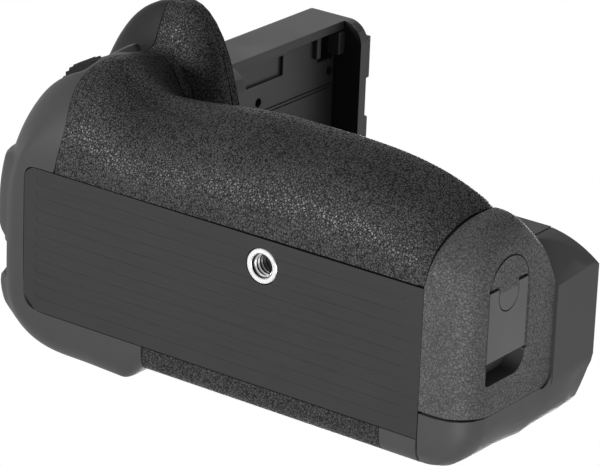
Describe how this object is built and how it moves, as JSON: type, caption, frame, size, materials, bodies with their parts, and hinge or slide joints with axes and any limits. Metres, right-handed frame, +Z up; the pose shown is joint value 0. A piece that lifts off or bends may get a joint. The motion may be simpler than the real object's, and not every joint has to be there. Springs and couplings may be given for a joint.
{
  "type": "camera battery grip",
  "caption": "Upright camera battery grip with rubber front bulge, ridged base, threaded tripod socket, latched battery magazine, thumb-driven attachment screw and a stem for the camera.",
  "frame": {"origin": "Centre of the tripod socket at its mouth, on the underside of the base plate.", "axes": "+Z up towards the camera, -Y towards the camera's front, +X towards the magazine door, -X towards the shutter end."},
  "size_m": [0.1569, 0.0879, 0.1098],
  "materials": {
    "rubber": "pebbled matt rubber",
    "shell": "fine satin grain",
    "plate": "matt, ridged",
    "inner": "matt",
    "steel": "bright",
    "brass": "plated",
    "board": "solder mask",
    "pack": "fine grain"
  },
  "bodies": {
    "housing": {"front_grip_rubber": "rubber", "hump_grip_rubber": "rubber", "rear_grip_rubber": "rubber", "front_shell": "shell", "shutter_end_cover": "shell", "rear_shell": "shell", "end_housing": "shell", "top_deck": "shell", "stem_shell": "shell", "stem_back_cover": "shell", "base_plate": "plate", "chassis": "inner", "stem_contact_block": "inner", "control_bracket": "inner", "shutter_switch": "inner", "power_switch": "inner", "strap_bracket": "inner", "tripod_socket": "steel", "deck_screws": "steel", "locating_pins": "steel", "stem_screws": "steel", "idler_post": "steel", "wheel_post": "steel", "dial_axle": "steel", "strap_bar": "steel", "stem_contact_pins": "brass", "bay_contacts": "brass", "thumb_board": "board", "control_board": "board"},
    "magazine": {"magazine_tray": "inner", "inner_battery_pack": "pack", "outer_battery_pack": "pack", "magazine_contacts": "brass", "door_backplate": "inner", "magazine_door": "rubber"},
    "latch": {"latch_barrel": "rubber", "latch_cam": "steel", "cam_screw": "steel", "latch_hinge_pin": "steel"},
    "lever": {"latch_lever": "shell"},
    "attachment_screw": {"mounting_screw": "steel", "screw_gear": "brass"},
    "idler": {"idler_gear": "brass"},
    "thumbwheel": {"attachment_wheel": "inner"},
    "shutter": {"shutter_button": "inner"},
    "dial": {"main_dial": "inner"},
    "af_on": {"af_on_button": "inner"},
    "ae_lock": {"ae_lock_button": "inner"},
    "af_point": {"af_point_button": "inner"},
    "power": {"power_lever": "inner"}
  },
  "joints": [
    {"name": "magazine_slide", "type": "slide", "parent": "housing", "child": "magazine", "axis": [1, 0, 0], "range_m": [0, 0.12]},
    {"name": "latch_turn", "type": "hinge", "parent": "magazine", "child": "latch", "pos_m": [0.062, -0.0065, 0.0156], "axis": [1, 0, 0], "range_deg": [0, 90]},
    {"name": "latch_flip", "type": "hinge", "parent": "latch", "child": "lever", "pos_m": [0.06075, -0.0065, 0.0156], "axis": [0, 0, -1], "range_deg": [0, 90]},
    {"name": "screw_turn", "type": "hinge", "parent": "housing", "child": "attachment_screw", "pos_m": [0, 0, 0.05], "axis": [0, 0, 1], "continuous": true},
    {"name": "idler_turn", "type": "hinge", "parent": "housing", "child": "idler", "pos_m": [0, 0.017, 0.0425], "axis": [0, 0, 1], "continuous": true},
    {"name": "wheel_turn", "type": "hinge", "parent": "housing", "child": "thumbwheel", "pos_m": [0.01512, 0.0285, 0.04], "axis": [0, 0, 1], "continuous": true},
    {"name": "shutter_press", "type": "slide", "parent": "housing", "child": "shutter", "axis": [0.5736, 0.8192, 0], "range_m": [0, 0.0008], "stiffness_N_per_m": 600},
    {"name": "dial_turn", "type": "hinge", "parent": "housing", "child": "dial", "pos_m": [-0.0718, -0.0198, 0.0243], "axis": [0, 0, 1], "continuous": true},
    {"name": "af_on_press", "type": "slide", "parent": "housing", "child": "af_on", "axis": [0, -1, 0], "range_m": [0, 0.0008], "stiffness_N_per_m": 600},
    {"name": "ae_lock_press", "type": "slide", "parent": "housing", "child": "ae_lock", "axis": [0, -1, 0], "range_m": [0, 0.0008], "stiffness_N_per_m": 600},
    {"name": "af_point_press", "type": "slide", "parent": "housing", "child": "af_point", "axis": [0, -1, 0], "range_m": [0, 0.0008], "stiffness_N_per_m": 600},
    {"name": "power_turn", "type": "hinge", "parent": "housing", "child": "power", "pos_m": [-0.0895, 0.006, 0.038], "axis": [-1, 0, 0], "range_deg": [0, 60]}
  ],
  "couplings": [
    {"joint": "latch_flip", "follows": "latch_turn", "ratio": 1},
    {"joint": "screw_turn", "follows": "wheel_turn", "ratio": 1.4},
    {"joint": "idler_turn", "follows": "wheel_turn", "ratio": -0.58333}
  ]
}
